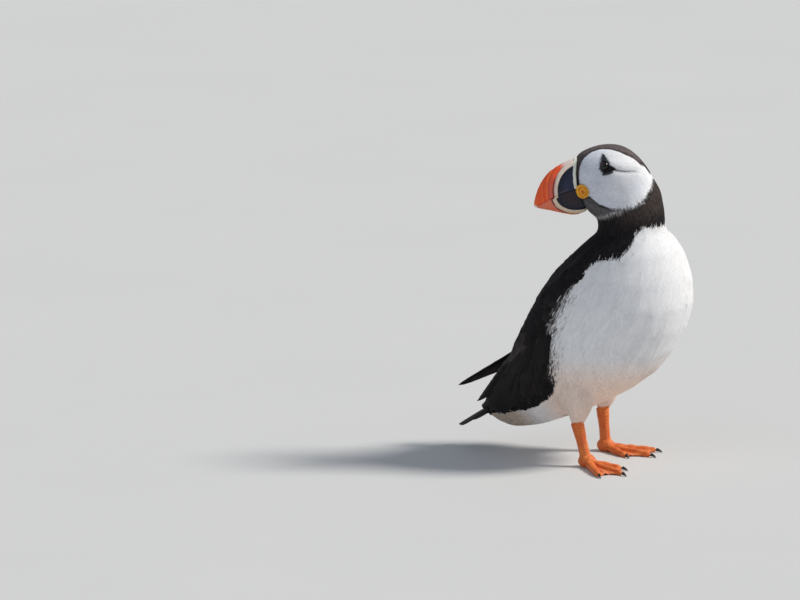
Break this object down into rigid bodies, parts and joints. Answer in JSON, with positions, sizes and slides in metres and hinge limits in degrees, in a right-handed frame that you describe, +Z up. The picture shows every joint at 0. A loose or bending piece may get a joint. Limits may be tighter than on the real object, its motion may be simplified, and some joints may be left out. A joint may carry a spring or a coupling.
{
  "type": "atlantic puffin",
  "caption": "Life-size standing Atlantic puffin in breeding plumage, looking back over its shoulder, with a tall banded bill, folded wings and webbed feet.",
  "frame": {"origin": "on the floor, under the middle of the whole bird's bounding box", "axes": "+Z up, -Y the way the breast faces, +X the bird's own left"},
  "size_m": [0.0958, 0.1632, 0.2063],
  "materials": {
    "white_plumage": "matte white feathers",
    "black_plumage": "soft black feathers with a brown cast",
    "flight_feathers": "stiff satin black-brown feathers",
    "face_plumage": "short pale grey face feathers",
    "red_horn": "satin orange-red horn with growth grooves",
    "slate_horn": "satin slate-blue horn",
    "cream_horn": "pale yellow ridged horn",
    "rosette": "soft wrinkled yellow-orange skin",
    "eye": "wet, dark brown",
    "eye_horn": "small blue-grey horn plates",
    "leg_skin": "orange scaled skin with soft webs",
    "claw": "dark horn"
  },
  "bodies": {
    "root": {"trunk": "white_plumage", "neck": "black_plumage", "head": "face_plumage", "cere": "cream_horn", "bill_upper_tip": "red_horn", "bill_upper_band": "cream_horn", "bill_upper_plate": "slate_horn", "bill_lower_tip": "red_horn", "bill_lower_band": "cream_horn", "bill_lower_plate": "slate_horn", "eye_right": "eye", "rosette_right": "rosette", "eye_plate_upper_right": "eye_horn", "eye_plate_lower_right": "eye_horn", "eye_left": "eye", "rosette_left": "rosette", "eye_plate_upper_left": "eye_horn", "eye_plate_lower_left": "eye_horn", "wing_right": "black_plumage", "primaries_right": "flight_feathers", "wing_left": "black_plumage", "primaries_left": "flight_feathers", "tail": "flight_feathers", "shank_right": "white_plumage", "tarsus_right": "leg_skin", "foot_right": "leg_skin", "claw_right_inner": "claw", "claw_right_middle": "claw", "claw_right_outer": "claw", "shank_left": "white_plumage", "tarsus_left": "leg_skin", "foot_left": "leg_skin", "claw_left_inner": "claw", "claw_left_middle": "claw", "claw_left_outer": "claw"}
  },
  "joints": []
}
